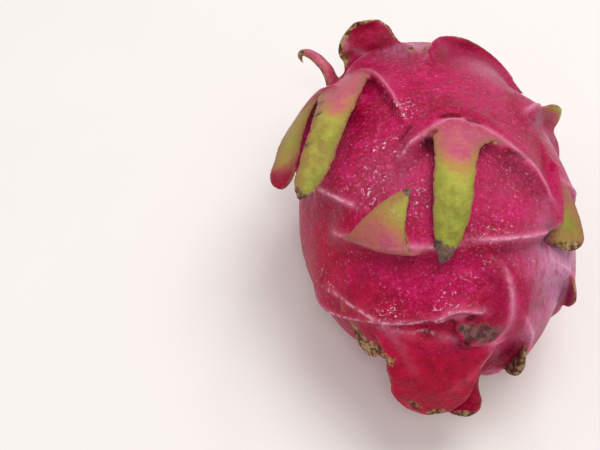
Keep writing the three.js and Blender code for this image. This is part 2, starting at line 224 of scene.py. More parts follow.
LISTED = [
    # the long green strap in the middle of the upper side
    dict(along=-0.5, turn=2.6, width=12.3, length=50, heading=-9.8, bend=-2.5, lift=5, curl=-6, blunt=4,
         lean=-0.25, flare=(4.5, 26), fade=3.3, left=(16, 12, 1.3), right=(36, 18, 1.6), swell=5,
         turns=(0.06, 0.42), green=1, tan=0.9, margins=(0.5, 0.8), dry=0.82, gray=1, shade=0.16),
    # the broad strap on the left shoulder, rolled up off the rind along its outer side
    dict(along=-35.8, turn=-38.5, width=9.8, length=60, heading=6, bend=-35, lift=9, curl=6, roll=48,
         blunt=11, lean=-0.35, flare=(17.5, 0.5), fade=14, left=(16, -9, 1), right=(17, 30, 1.5),
         turns=(0.2, 0.52), green=1, tan=0.8, margins=(1.3, 0.7), dry=0.94, gray=0.5, blush=0.35,
         shade=0.06, spots=((21, -0.8, 1.3), (27, -0.85, 1.7), (35, -0.8, 1.1), (41, -0.75, 1.2),
                            (24, -1, 0.8), (31, -1, 0.9), (54, 0.5, 1.2), (57, -0.6, 2))),
    # the narrow one outside it
    dict(along=-29.5, turn=-64, width=8.8, length=44, heading=7.5, bend=-4, lift=7, curl=4, roll=45,
         blunt=13, flare=(0.5, 3), swell=8, turns=(0, 0.2), back=(0.5, 0.9), tan=0.7, dry=1.2, gray=0.1,
         red=1, blush=0.5, shade=0.4),
    # the slender hooked tip above them
    dict(along=-42, turn=-73, width=6.6, length=33, heading=-86, bend=-40, lift=144, curl=-156,
         blunt=0.7, flare=(0.5, 3), turns=(0.3, 0.75), green=0.3, tan=1, margins=(0.7, 0.7), dry=0.55,
         gray=0),
    # two broad flaps standing up at the stem end
    dict(along=-49, turn=-38, width=20, length=14, lift=62, curl=20, blunt=5, swell=5.5, green=0,
         red=0.3, tan=1, margins=(3, 1.2), dry=0.86, gray=0, ruffle=1.5, crumple=1.5,
         spots=((11, -0.95, 2.8), (5, -1, 2.2), (13, -0.55, 2.4))),
    dict(along=-46, turn=34, width=32, length=4.2, lift=56, blunt=4, swell=6, flare=(4, 9),
         right=(25, 10, 1.5), green=0, red=1, tan=0.9, dry=0.9),
    # the small curled tip on the right shoulder
    dict(along=-21, turn=65.5, width=10, length=7, lift=72, curl=30, blunt=3, thick=4.4,
         turns=(0.25, 0.95), green=0.95, tan=0.9, margins=(1, 1), dry=0.93, gray=0.2, red=1, shade=0.15),
    # the tip that is folded back over its own shoulder
    dict(along=31, turn=-34, width=22, length=24, heading=-32, bend=-31, lift=10, curl=176, fold=0.2,
         blunt=0.65, thick=2.2, left=(20, 2, 1.5), right=(24, -5, 1), turns=(0.14, 0.56), blush=0.75,
         tan=0.9, margins=(0.5, 0.9), dry=0.83, gray=0.8, ruffle=0.3, shade=0.3),
    # the gutter-shaped one low on the right
    dict(along=12, turn=47.5, width=11.5, length=23.5, heading=15, lift=3, curl=8, roll=-44, blunt=9,
         left=(36, 19.5, 0.12), right=(16, 6, 1.5), swell=3, flare=(0, 0), turns=(0.1, 0.4), green=0.85,
         tan=0.9, margins=(1, 1.8), dry=0.86, gray=0.2, blush=-0.85, ruffle=0.1, shade=0.5),
    dict(along=32.5, turn=86, width=14, length=7, lift=24, blunt=4, thick=2.2, swell=3, turns=(0.6, 1.2),
         green=0.1, tan=1, margins=(0.6, 0.6), dry=0.94, gray=0.4),
    # the broad shell-shaped one near the flower end
    dict(along=50, turn=35, width=12.5, length=16.5, heading=-78, bend=25, lift=6, curl=6, roll=-30,
         blunt=8, flare=(10, 4), fade=6, left=(16, 6, 1.5), right=(20, 10, 1.5), green=0, tan=0.15,
         dry=1.2, red=0.1, ruffle=0.3, gray=0.9,
         spots=((14.5, 0.1, 2.2), (12, 0.3, 3.2), (8, 0.35, 3.2), (3.5, 0.4, 2.6))),
    # the ragged one beside it
    dict(along=46, turn=-56, width=22, length=17, heading=-70, lift=8, curl=-4, blunt=1.5,
         left=(20, 6, 1.5), right=(14, 6, 1.5), swell=3, turns=(0.6, 1.1), green=0.2, tan=1,
         margins=(2.2, 2.2), dry=0.5, gray=0, ruffle=1.5, crumple=0.8),
    # the wide blunt one that hangs over the navel
    dict(along=52, turn=-22, width=21, length=28, heading=-27, lift=34, curl=-14, blunt=7,
         flare=(15, 10), fade=7.5, left=(20, 4, 1.5), right=(20, 4, 1.5), green=0, red=0.8, tan=0.5,
         dry=0.97, ruffle=0.9, crumple=0.3, gray=0,
         spots=((24, -0.45, 2.2), (26.5, 0.2, 2.6), (26, 0.55, 2.4), (10.5, -0.95, 1.5))),
    # its neighbour across the navel
    dict(along=54, turn=185, width=15, length=15.5, heading=-20, lift=75, curl=-22, blunt=5,
         left=(16, 4, 1.5), right=(16, 4, 1.5), swell=3, green=0, red=0.5, tan=0.6, dry=0.9, ruffle=0.9),
    dict(along=50, turn=106, width=13, length=8.5, lift=30, curl=20, blunt=2.4, green=0.1, tan=1,
         margins=(1.6, 1.6), dry=0.35, gray=0.2, ruffle=1.5, crumple=0.7),
    # bare ledges: below the tip of the broad strap, and beside the shell-shaped one
    dict(along=11, turn=-50, length=0, heading=-40, left=(12, 0, 1), right=(11, 0, 1), swell=3),
    dict(along=45, turn=-60, length=0, heading=-30, left=(28, -2, 1), right=(30, 5, 1.5), swell=4.5),
    # the small lip of skin over the tip of the shell-shaped one
    dict(along=48, turn=-5, length=0, left=(8, 4, 2), right=(8, 2.5, 2), swell=5.8, rise=6),
    # the collar round the stem hollow
    dict(along=-51, turn=5, length=0, heading=180, left=(34, 0, 1), right=(34, 0, 1), swell=5.5,
         rise=34),
]

# The scales on the underside: a spiral that stays clear of the ones above.
GOLDEN_ANGLE = 137.508
SPIRAL = dict(seed=7, count=30, start=100, span=0.93, clearance=21)
UNDERSIDE = np.array([0, 0.5, -0.85])
WELL_UNDER = 0.345  # how far round the spiral starts
PRESSED = dict(lift=4, curl=-8)  # the scales under the fruit


def skin_point(scale):
    return smooth_body(direction_at(scale["along"], scale["turn"]))


def spiral_scales():
    draw = seeded_draw(SPIRAL["seed"])
    grown = []
    for i in range(SPIRAL["count"]):
        share = (i + 0.5) / SPIRAL["count"]
        scale = dict(
            along=HALF_LENGTH * SPIRAL["span"] * (2 * share - 1),
            turn=SPIRAL["start"] + GOLDEN_ANGLE * i,
            width=draw(11, 17), length=draw(15, 19) + 12 * share, heading=draw(-18, 18),
            lift=draw(10, 30), curl=draw(-10, 40), blunt=draw(1.2, 3.2),
        )
        v = direction_at(scale["along"], scale["turn"])
        if v[2] < 0:
            scale.update(PRESSED)
        apart = [np.linalg.norm(skin_point(s) - skin_point(scale)) for s in LISTED]
        if min(apart) > SPIRAL["clearance"] and v @ UNDERSIDE > WELL_UNDER:
            grown.append(scale)
    return grown


def completed(scale):
    """A scale with all its values and its frame."""
    values = {**SCALE, **scale}
    return {**values, "frame": frame_of(values)}


SCALES = [completed(s) for s in LISTED + spiral_scales()]
BLADES = [s for s in SCALES if s["length"] > 0]


def sweep_at(scale, y):
    """How far down a crest has swept at the distance y to the side."""
    sides = zip(scale["left"], scale["right"])
    reach, sweep, bow = (np.where(y < 0, *values) for values in sides)
    return sweep * np.minimum(np.abs(y) / reach, SWEEP_END) ** bow


def to_each_shoulder(v):
    """Each scale with the directions near it, how far past its crest and how far aside."""
    for scale in SCALES:
        near = v @ scale["frame"]["origin"] > NEAR_SIDE
        x, y = to_frame(scale["frame"], v[near])
        side = np.abs(y) / np.where(y < 0, scale["left"][0], scale["right"][0])
        yield scale, near, x - sweep_at(scale, y), side


def relief_at(v):
    """The height of the rind over the smooth body, where overlapping shoulders merge."""
    total = np.zeros(len(v))
    for scale, near, past, side in to_each_shoulder(v):
        climb = np.maximum(0, 1 + past / scale["rise"]) ** 2
        fall = 1 - smoothstep(past, 0, CREST_DROP * (1 + SIDE_SOFTENING * side))
        height = scale["swell"] * np.where(past < 0, climb, fall) * (1 - smoothstep(side, *CREST_END))
        total[near] += height**MERGE_POWER
    from_end = HALF_WIDTH * np.arccos(np.abs(v[:, 1]))
    stem = STEM_HOLLOW["depth"] * bell(from_end / STEM_HOLLOW["spread"])
    navel = NAVEL["depth"] * bell(from_end / NAVEL["spread"])
    return total ** (1 / MERGE_POWER) - np.where(v[:, 1] > 0, stem, navel)


# --- rind and blades as fine meshes ---


def six_sided_grid(cells):
    """A grid that wraps the unit sphere, welded along its seams."""
    steps = np.tan(np.linspace(-1, 1, cells + 1) * math.pi / 4)
    row, column = cells_of(cells + 1, cells + 1)
    a, b, c = steps[row], steps[column], np.ones(row.size)
    quad = grid_quads(cells, cells)
    points, quads = [], []
    for k in range(3):
        for side in (1, -1):
            quads.append(quad[:, ::side] + len(points) * row.size)
            points.append(np.roll(np.stack([side * c, a, b], -1), k, axis=-1))
    directions = unit(np.concatenate(points))
    rounded = np.round(directions, SEAM_DECIMALS)
    _, first, back = np.unique(rounded, axis=0, return_index=True, return_inverse=True)
    return directions[first], back.ravel()[np.concatenate(quads)]


# Hollows where scales tuck into the rind: along, turn, radius and depth.
DENTS = [
    (4.2, -8.3, 2.4, 3), (29.7, 46.6, 3, 3.5), (51, -33.5, 2.6, 2.2), (53.5, -21, 2.2, 2),
    (12, 22, 1.8, 1.2),
]
# Creases across the rind: from along, turn to along, turn, and the depth.
CREASES = [
    ((-2.4, -2.5), (-2, 5.5), 1.3), ((-0.5, 6), (0.5, 12), 0.7), ((-2.5, -13), (1.5, -19), 0.9),
    ((2.5, -6), (4.5, -3), 0.9), ((8.5, 20), (10.5, 27), 1), ((48.5, -30), (50, -16), 0.8),
    ((36, -70), (43, -38), 0.7), ((49.3, -15.5), (50.2, -3), 0.7), ((50.2, -3), (48.7, 7), 0.7),
]
CREASE_WIDTH, CREASE_FADE = 0.7, 0.8  # mm, and the share of its depth lost at its ends
# The thin raised line along each crest, which all shoulders have in full from LIP_SWELL on.
LIP_HEIGHT, LIP_WIDTH, LIP_BACK, LIP_END = 0.7, 0.6, 0.4, (0.6, 1.0)
LIP_SWELL, LIP_SHARE, LIP_VARIES, LIP_NOISE = 4, 0.75, 0.45, (6, 9)
UNDULATION = [(0.34, 13, 1), (0.16, 5.5, 2), (0.07, 2.4, 3)]  # height and pitch in mm, and seed
ON_RIND = (0.8, 2)  # mm off the rind: from a point on it to one on a blade


def undulation(points):
    """The uneven growth of the rind, in mm."""
    return sum(height * noise(points, pitch, seed) for height, pitch, seed in UNDULATION)


def crest_lips(v, base):
    """The thin raised line along each crest, in mm."""
    lips = np.zeros(len(v))
    for scale, near, past, side in to_each_shoulder(v):
        line = bell((past + LIP_BACK) / LIP_WIDTH)
        share = 1 - smoothstep(side, *LIP_END)
        lips[near] = np.maximum(lips[near], line * share * min(1, scale["swell"] / LIP_SWELL))
    return LIP_HEIGHT * lips * (LIP_SHARE + LIP_VARIES * noise(base, *LIP_NOISE))


def creases(base):
    """The depth of the creases, in mm."""
    total = np.zeros(len(base))
    for start, end, depth in CREASES:
        a, b = smooth_body(direction_at(*start)), smooth_body(direction_at(*end))
        share = np.clip((base - a) @ (b - a) / ((b - a) @ (b - a)), 0, 1)
        distance = np.linalg.norm(base - a - share[:, None] * (b - a), axis=-1)
        fade = 1 - CREASE_FADE * (2 * share - 1) ** 4
        total = np.maximum(total, depth * fade * bell(distance / CREASE_WIDTH))
    return total


def hollows(base):
    """The depth of small pockets and creases, in mm."""
    total = creases(base)
    for along, turn, radius, depth in DENTS:
        distance = np.linalg.norm(base - smooth_body(direction_at(along, turn)), axis=-1)
        total += depth * bell(distance / radius)
    return total


def rind_mesh():
    v, quads = six_sided_grid(RIND_CELLS)
    base = smooth_body(v)
    points = base + outward(v) * (relief_at(v) + undulation(base))[:, None] + CENTRE
    return above_floor(points), quads


def spine_of(scale):
    """Rows of a blade from its sunk root to its tip: s, x, y, h, pitch, veer and free."""
    start = math.radians(scale["lift"])
    x, y, veer = -ROOT * math.cos(start), 0.0, 0.0
    h = scale["swell"] - scale["thick"] / 2 - ROOT * math.sin(start)
    step = (ROOT + scale["length"]) / (BLADE_ROWS * SPINE_STEPS)
    spine = []
    for i in range(BLADE_ROWS * SPINE_STEPS + 1):
        s = i * step - ROOT
        free = min(max(s / scale["length"], 0), 1)
        pitch = start + math.radians(scale["curl"]) * float(smoothstep(free, 0, scale["fold"]))
        if i % SPINE_STEPS == 0:
            spine.append((s, x, y, h, pitch, veer, free))
        veer = math.radians(scale["bend"]) * free
        shrink = 1 / (1 + max(h, 0) / HALF_WIDTH)
        x += step * math.cos(pitch) * math.cos(veer) * shrink
        y += step * math.cos(pitch) * math.sin(veer) * shrink
        h += step * math.sin(pitch)
    return np.array(spine)


# Pitch and seed of the noise that nicks and waves a blade's margins and crumples its face.
NICK, WAVE, CRUMPLE = (2.3, 4), (6.5, 5), (4.5, 10)
APART = [1, 7, 9]  # keeps margins and blades apart in the noise
CRUMPLE_STRETCH = [1.7, 0.6, 1]
RIM, RIM_AT, RIM_WIDTH = 0.25, 0.9, 0.12  # mm high, and in shares across
TAPER_POWER, TAPER_ROUNDING, LEAST_TAPER = 1.2, 0.75, 0.02
LOOSE_FROM = 5  # mm from the root


def blade_noises(scale, number, s, across):
    shape = len(s), across.size
    at = np.stack([np.broadcast_to(s, shape), np.sign(across) + 0 * s, np.full(shape, number)], -1)
    margin = at.reshape(-1, 3) * APART
    sideways = (across * scale["width"] / 2)[..., None] * [0, 1, 0]
    face = (at * [1, 0, APART[2]] + sideways).reshape(-1, 3) * CRUMPLE_STRETCH
    places = (margin, NICK), (margin, WAVE), (face, CRUMPLE)
    return (noise(place, *kind).reshape(shape) for place, kind in places)


def blade_mesh(scale, number):
    """Points, quads and facts of a blade: for each quad its number, s, free, across and side."""
    spine = spine_of(scale)
    across = np.sin(np.linspace(-1, 1, BLADE_COLUMNS + 1) * math.pi / 2)[None, :]
    s, x0, y0, h0, pitch, veer, free = (spine[:, k : k + 1] for k in range(7))
    near_root = np.exp(-np.abs(s) / scale["fade"])
    narrowed = np.maximum(1 - free ** (TAPER_POWER * scale["blunt"]), LEAST_TAPER)
    taper = narrowed**TAPER_ROUNDING
    flare = np.where(across < 0, *scale["flare"])
    nick, wave, crumple = blade_noises(scale, number, s, across)
    loose = smoothstep(s, 0, LOOSE_FROM)
    half = scale["width"] / 2 * taper + flare * near_root
    reach = (half + scale["ruffle"] / 2 * loose * nick * np.minimum(taper * 2, 1)) * across
    reach = reach + scale["lean"] * (1 - taper) * scale["width"] / 2
    edge = np.abs(across) ** 3 * loose
    body = scale["thick"] * (1 - TIP_THINNING * free)
    thick = BLADE_EDGE + (body - BLADE_EDGE) * (1 - across**2)
    rim = RIM * bell((np.abs(across) - RIM_AT) / RIM_WIDTH) * loose
    roll = math.radians(scale["roll"]) * free
    shrink = 1 / (1 + np.maximum(h0, 0) / HALF_WIDTH)
    drop = sweep_at(scale, reach) * near_root
    lateral = reach * np.cos(roll)
    bend = scale["ruffle"] * edge * wave + scale["crumple"] * loose * crumple
    points = []
    for side in (1, -1):
        normal = side * thick / 2 + (rim if side > 0 else 0) + bend
        back = -np.sin(pitch) * normal
        x = x0 + drop + (back * np.cos(veer) - lateral * np.sin(veer)) * shrink
        y = y0 + (back * np.sin(veer) + lateral * np.cos(veer)) * shrink
        h = h0 + np.cos(pitch) * normal - reach * np.sin(roll)
        v = to_direction(scale["frame"], x.ravel(), y.ravel())
        points.append(smooth_body(v) + outward(v) * h.ravel()[:, None] + CENTRE)
    points = above_floor(np.concatenate(points))
    quads, cells = slab_quads(BLADE_ROWS, BLADE_COLUMNS)
    row, column, side = cells.T
    s, free, across = s[row, 0], free[row, 0], across[0, column]
    facts = np.stack([np.full(len(row), number), s, free, across, side], -1)
    return points, quads, facts


def slab_quads(rows, columns):
    """Quads of a closed slab of two grids, and each quad's row, column and side (1, -1 or 0)."""
    stride, face = columns + 1, (rows + 1) * (columns + 1)
    outer = grid_quads(rows, columns)
    quads = [outer, outer[:, [0, 3, 2, 1]] + face]
    r, c = cells_of(rows, columns)
    cells = [np.stack([r, c, 0 * r + side], -1) for side in (1, -1)]
    r, c = np.arange(rows), np.arange(columns)
    for start, end, row, column in [
        ((r + 1) * stride, r * stride, r, 0),
        (r * stride + columns, (r + 1) * stride + columns, r, columns),
        (c, c + 1, 0, c),
        (rows * stride + c + 1, rows * stride + c, rows, c),
    ]:
        quads.append(np.stack([start, end, end + face, start + face], -1))
        cells.append(np.stack(np.broadcast_arrays(row, column, 0 * start), -1))
    return np.concatenate(quads), np.concatenate(cells)


# --- from points to one closed surface ---


def set_points(mesh, points):
    mesh.vertices.foreach_set("co", (points * METRE).astype(np.float32).ravel())
    mesh.update()


def mesh_from(name, points, faces):
    mesh = bpy.data.meshes.new(name)
    mesh.vertices.add(len(points))
    mesh.loops.add(faces.size)
    mesh.loops.foreach_set("vertex_index", faces.astype(np.int32).ravel())
    mesh.polygons.add(len(faces))
    mesh.polygons.foreach_set("loop_start", np.arange(0, faces.size, faces.shape[1], dtype=np.int32))
    set_points(mesh, points)
    mesh.update(calc_edges=True)
    mesh.validate()
    return mesh


def piece_from(name, mesh):
    piece = bpy.data.objects.new(name, mesh)
    bpy.context.scene.collection.objects.link(piece)
    return piece


def apply_modifier(piece, kind, **settings):
    modifier = piece.modifiers.new(kind.lower(), kind)
    for key, value in settings.items():
        setattr(modifier, key, value)
    graph = bpy.context.evaluated_depsgraph_get()
    mesh = bpy.data.meshes.new_from_object(piece.evaluated_get(graph))
    piece.modifiers.clear()
    old, piece.data = piece.data, mesh
    bpy.data.meshes.remove(old)


def rows_of(items, name, each, width, kind=np.int32):
    """A property of a mesh's items that has "each" numbers, in rows of the given width."""
    values = np.empty(len(items) * each, kind)
    items.foreach_get(name, values)
    return values.reshape(-1, width)


def quads_of(mesh):
    return rows_of(mesh.loops, "vertex_index", 1, 4)


def edges_of(mesh):
    return rows_of(mesh.edges, "vertices", 2, 2)


def points_of(mesh):
    return rows_of(mesh.vertices, "co", 3, 3, np.float32).astype(float) / METRE


def largest_part(points, quads):
    """The points and quads of the largest connected part."""
    links = np.concatenate([quads[:, [k, (k + 1) % 4]] for k in range(4)])
    label = np.arange(len(points))
    while True:
        a, b = label[links.T]
        lower = np.minimum(a, b)
        linked = label.copy()
        np.minimum.at(linked, a, lower)
        np.minimum.at(linked, b, lower)
        linked = linked[linked]
        if (linked == label).all():
            break
        label = linked
    kept = label == np.bincount(label).argmax()
    renumbered = np.cumsum(kept) - 1
    return points[kept], renumbered[quads[kept[quads[:, 0]]]]


def averaged(values, edges):
    """Each vertex's mean over its neighbours, for values (n, k)."""
    n = len(values)
    count = np.maximum(np.bincount(edges.ravel(), minlength=n), 1)
    a, b = edges.T
    total = [np.bincount(a, v[b], n) + np.bincount(b, v[a], n) for v in values.T]
    return np.stack(total, -1) / count[:, None]


def softened(values, edges, passes, share=1):
    """Draws values halfway to their neighbours' mean, or a share of that, in each pass."""
    for _ in range(passes):
        values = values + 0.5 * share * (averaged(values, edges) - values)
    return values


def on_rind(points, v, base):
    """1 where a point lies on the rind itself, falling to 0 on the blades over it."""
    height = ((points - CENTRE - base) * outward(v)).sum(-1)
    return 1 - smoothstep(np.abs(height - relief_at(v)), *ON_RIND)


def joined(meshes):
    starts = np.cumsum([0] + [len(points) for points, _ in meshes])
    quads = [quads + start for (_, quads), start in zip(meshes, starts)]
    return np.concatenate([points for points, _ in meshes]), np.concatenate(quads)


SEARCH = 6.0  # mm: how far off a blade is looked for
NO_BLADE, NO_FACTS = 9.0, [[-1, 0, 0, 0, 0]]  # the distance and the facts where none is found


def nearest_facts(points, blade_points, blade_quads, facts):
    """For each point, its distance from the blades and the facts of the nearest quad."""
    tree = BVHTree.FromPolygons(blade_points.tolist(), blade_quads.tolist())
    found = [tree.find_nearest(p, SEARCH)[2:] for p in points.tolist()]
    index = np.array([-1 if quad is None else quad for quad, _ in found])
    distance = np.array([NO_BLADE if quad is None else away for quad, away in found])
    return distance, np.where(index[:, None] >= 0, facts[index], NO_FACTS)


# Where blades and rind join, in mm along a blade and off it: round its root, and beside it.
ROOT_ALONG, ROOT_OFF = 3.5, 2.5
FILLET_ALONG, FILLET_OFF, FILLET_WIDTH = 8, 0.9, 0.7
BARE = (0.3, 1.6)  # mm off the blades: from none of the rind's own relief to all of it


def junction_share(s, distance, edges):
    root = bell(s / ROOT_ALONG) * (distance < ROOT_OFF)
    fillet = bell((distance - FILLET_OFF) / FILLET_WIDTH) * (s < FILLET_ALONG)
    return softened(np.clip(root + fillet, 0, 1)[:, None], edges, passes=6)


def finely_shaped(points, edges, surface):
    """Smooths off the voxels, fills where blades join, and adds the rind's fine relief."""
    points = softened(points, edges, passes=2)
    distance, near = nearest_facts(points, *surface)
    share = junction_share(near[:, 1], distance, edges)
    points = softened(points, edges, passes=14, share=share)
    v = direction_of(points)
    base = smooth_body(v)
    bare = smoothstep(distance, *BARE)
    change = bare * crest_lips(v, base) - on_rind(points, v, base) * hollows(base)
    return above_floor(points + outward(v) * change[:, None])


def fruit_piece():
    blades = [blade_mesh(scale, number) for number, scale in enumerate(BLADES)]
    leaves = joined([mesh[:2] for mesh in blades])
    surface = (*leaves, np.concatenate([facts for *_, facts in blades]))
    piece = piece_from("dragon_fruit", mesh_from("dragon_fruit", *joined([rind_mesh(), leaves])))
    apply_modifier(piece, "REMESH", mode="VOXEL", voxel_size=VOXEL * METRE, use_smooth_shade=True)
    points, quads = largest_part(points_of(piece.data), quads_of(piece.data))
    piece.data = mesh = mesh_from("dragon_fruit", points, quads)
    set_points(mesh, finely_shaped(points, edges_of(mesh), surface))
    triangles = 2 * len(mesh.polygons)
    if triangles > MOST_TRIANGLES:
        ratio = MOST_TRIANGLES / triangles
        apply_modifier(piece, "DECIMATE", ratio=ratio, use_collapse_triangulate=True)
    mesh = piece.data
    points = above_floor(points_of(mesh))
    set_points(mesh, points)
    mesh.polygons.foreach_set("use_smooth", np.ones(len(mesh.polygons), bool))
    names = paint_masks(mesh, points, *nearest_facts(points, *surface))
    mesh.materials.append(fruit_material(names))
    return piece


# --- masks that carry the colours ---

# Places with a look of their own: along, turn, height over the smooth body, radius, and strength.
DEEP_SHADE = [  # painted shade: a deeper red where the rind gets less light
    (26, -68, 1, 15, 0.8), (42, -66, 2, 13, 0.8), (51, -35, 3, 9, 0.8), (54, 10, 2, 8, 0.7),
]
WAX_AND_SHEEN = [  # the pale, lavender-gray waxy film, with a painted sheen of reflected light
    (32, 62, 2, 15, 1), (14, 70, 2, 12, 0.5), (-12, 64, 2, 13, 0.45), (-34, 38, 3, 11, 0.3),
    (-47, -8, 4, 10, 0.5), (48, 66, 3, 8, 0.5), (38, 78, 3, 11, 1), (12, -24, 3, 13, 0.13),
    (17, 22, 3, 11, 0.1),
]
SCRAPS = [(-41.2, -6.7, 4.5, 2.2, 0.9), (-41.6, 2.4, 3.6, 2.4, 1.0)]  # dry bits left by the stem
POCKET_SHADE = [  # painted shade: nearly black-red in the pockets where scales tuck in
    (4.2, -8.3, 1, 2.8, 1), (28.7, 45, 0, 3.8, 1), (51, -33.5, 0, 2.6, 0.7), (53.5, -21, 0, 2.6, 0.7),
]
PIT_SHADE = [(52.8, -1.3, 7.3, 1.2, 1.6)]  # painted shade: a dark spot for the inside of a pit in the skin
WATER_GLINT_PLACES = [  # where fine drops of water stand, with their glints painted
    (-10.8, -14.8, 1, 4.5, 1), (-18.5, -23.6, 3, 3.5, 0.8), (14.2, -32.8, 1, 7, 1),
    (2.5, 9.5, 4, 3.5, 0.9), (32.5, 4.7, 2, 4, 0.9), (32.8, 16.9, 2, 5, 0.9), (46.3, -48.8, 4, 6, 1),
    (46.3, -9.8, 5, 6, 0.7), (30.2, -75.6, 2, 6, 0.7), (22, -20, 3, 9, 0.6), (2, -25, 1, 8, 0.6),
    (15, 25, 2, 9, 0.3), (40, 10, 2, 8, 0.4),
]


BLADE_BAND = (0.2, 1.1)  # mm off a blade: from all of its look to none
FRAY, TURN_FRAY, DRY_FRAY = (5, 6), 0.06, 0.05  # noise on two borders, in shares of the length
MIDDLE_LAG, DRY_BORDER = 0.1, 0.06  # shares too: green is late in the middle; a tip withers
GREEN_AT_ROOT, GREEN_GAIN, LEAF_GAIN = 0.72, 0.28, 1.6
BLUSH_NOISE, BLUSH_BORDER = (4, 12), (0.1, 0.8)
LEAST_RIM = 0.1  # mm
TAN_FROM, RED_FROM, LEAF_FROM = (1, 5), (1, 9), (-1, 4)  # mm from the root: from none to all
EDGE_WIDTH = 2.4  # mm of a darker margin
CREST_HIGHLIGHT_BACK, CREST_HIGHLIGHT_WIDTH = 0.4, 0.85  # the painted highlight along a crest, in mm
CREST_SHADE_START, CREST_SHADE_END = (0, 2.5), (4, 12)  # the painted shade, a deeper red under a crest, in mm past it
CREST_FADE = (0.75, 1.1)  # where both die out, in reaches to the side
WAX_AND_SHEEN_LOST = 0.8  # share missing on blades


def blade_masks(points, distance, near):
    number, s, free, across, side = near.T
    number = number.astype(int)

    def look(name):
        """A value of the blade at each vertex, or both values of a pair."""
        return np.array([b[name] for b in BLADES] + [SCALE[name]])[number].T

    blade = np.where(number >= 0, 1 - smoothstep(distance, *BLADE_BAND), 0)
    fray = noise(points, *FRAY)
    from_margin = look("width") / 2 * (1 - np.abs(across))
    place = free + TURN_FRAY * fray - MIDDLE_LAG * (1 - across**2)
    turned = smoothstep(place, *look("turns")) * (GREEN_AT_ROOT + GREEN_GAIN * free)
    turned = turned * (1 - smoothstep(place, *look("back")))
    margin = np.where(across < 0, *look("margins"))
    rim = np.clip(bell(from_margin / np.maximum(margin, LEAST_RIM)) + (side == 0), 0, 1)
    dry = smoothstep(free + DRY_FRAY * fray, look("dry"), look("dry") + DRY_BORDER)
    for k, scale in enumerate(BLADES):
        for s0, across0, radius in scale["spots"]:
            apart = np.hypot(s - s0, (across - across0) * scale["width"] / 2)
            spot = (number == k) * np.exp(-((apart / radius) ** 4))
            dry = np.maximum(dry, spot)
    away = 0.5 - 0.5 * across * np.sign(look("blush"))
    lingers = smoothstep(away + 0.5 * noise(points, *BLUSH_NOISE), *BLUSH_BORDER)
    return dict(
        blade=blade,
        green=blade * look("green") * turned,
        tan=blade * look("tan") * rim * smoothstep(s, *TAN_FROM),
        dry=blade * dry,
        gray=blade * look("gray"),
        deep_red_and_shade=blade * look("red") * smoothstep(s, *RED_FROM),
        blush=blade * np.abs(look("blush")) * lingers,
        leaf=blade * np.minimum(LEAF_GAIN * look("green"), 1) * smoothstep(s, *LEAF_FROM),
        edge=blade * bell(from_margin / EDGE_WIDTH) * (side != 0),
        shade=blade * look("shade"),
    )


def shoulder_masks(v):
    crest_highlight, crest_shade = np.zeros(len(v)), np.zeros(len(v))
    for _, near, past, side in to_each_shoulder(v):
        fade = 1 - smoothstep(side, *CREST_FADE)
        # painted highlight along the crest
        line = bell((past + CREST_HIGHLIGHT_BACK) / CREST_HIGHLIGHT_WIDTH)
        crest_highlight[near] = np.maximum(crest_highlight[near], fade * line)
        # painted shade, a deeper red, just past the crest
        under_crest = smoothstep(past, *CREST_SHADE_START) * (1 - smoothstep(past, *CREST_SHADE_END))
        crest_shade[near] = np.maximum(crest_shade[near], fade * under_crest)
    return dict(crest_highlight=crest_highlight, crest_shade=crest_shade)


def place_mask(points, places):
    total = np.zeros(len(points))
    for along, turn, height, radius, strength in places:
        v = direction_at(along, turn)
        distance = np.linalg.norm(points - smooth_body(v) - height * outward(v) - CENTRE, axis=-1)
        total = np.maximum(total, strength * bell(distance / radius))
    return total


def paint_masks(mesh, points, distance, near):
    """Writes the masks that the material reads, from 0 to 1, and returns their names."""
    v = direction_of(points)
    base = smooth_body(v)
    masks = blade_masks(points, distance, near)
    masks.update(shoulder_masks(v))
    # waxy film and painted sheen, less of both on the blades
    masks["bloom"] = place_mask(points, WAX_AND_SHEEN) * (1 - WAX_AND_SHEEN_LOST * masks["blade"])
    # the scales' own deeper red, with painted shade added at the listed places
    masks["deep_red_and_shade"] = np.maximum(masks["deep_red_and_shade"], place_mask(points, DEEP_SHADE))
    masks["dry"] = np.maximum(masks["dry"], place_mask(points, SCRAPS))
    # painted shade in the pockets and the pit
    shaded_pockets = place_mask(points, POCKET_SHADE) * (1 - masks["blade"])
    masks["dark"] = np.maximum(shaded_pockets, place_mask(points, PIT_SHADE))
    masks["wet"] = place_mask(points, WATER_GLINT_PLACES)
    # painted shade: a darker red down the creases
    masks["crease"] = np.minimum(2 * creases(base), 1) * on_rind(points, v, base)
    values = softened(np.stack(list(masks.values()), -1), edges_of(mesh), passes=2)
    for name, column in zip(masks, values.T):
        layer = mesh.attributes.new(name, "FLOAT", "POINT")
        layer.data.foreach_set("value", column.astype(np.float32))
    return list(masks)


# --- materials ---


def rgb(red, green, blue):
    """A screen colour, 0 to 255, as the linear colour that Blender's sockets take."""
    linear = [c / 12.92 if c <= 0.04045 else ((c + 0.055) / 1.055) ** 2.4
              for c in (red / 255, green / 255, blue / 255)]
    return (*linear, 1.0)


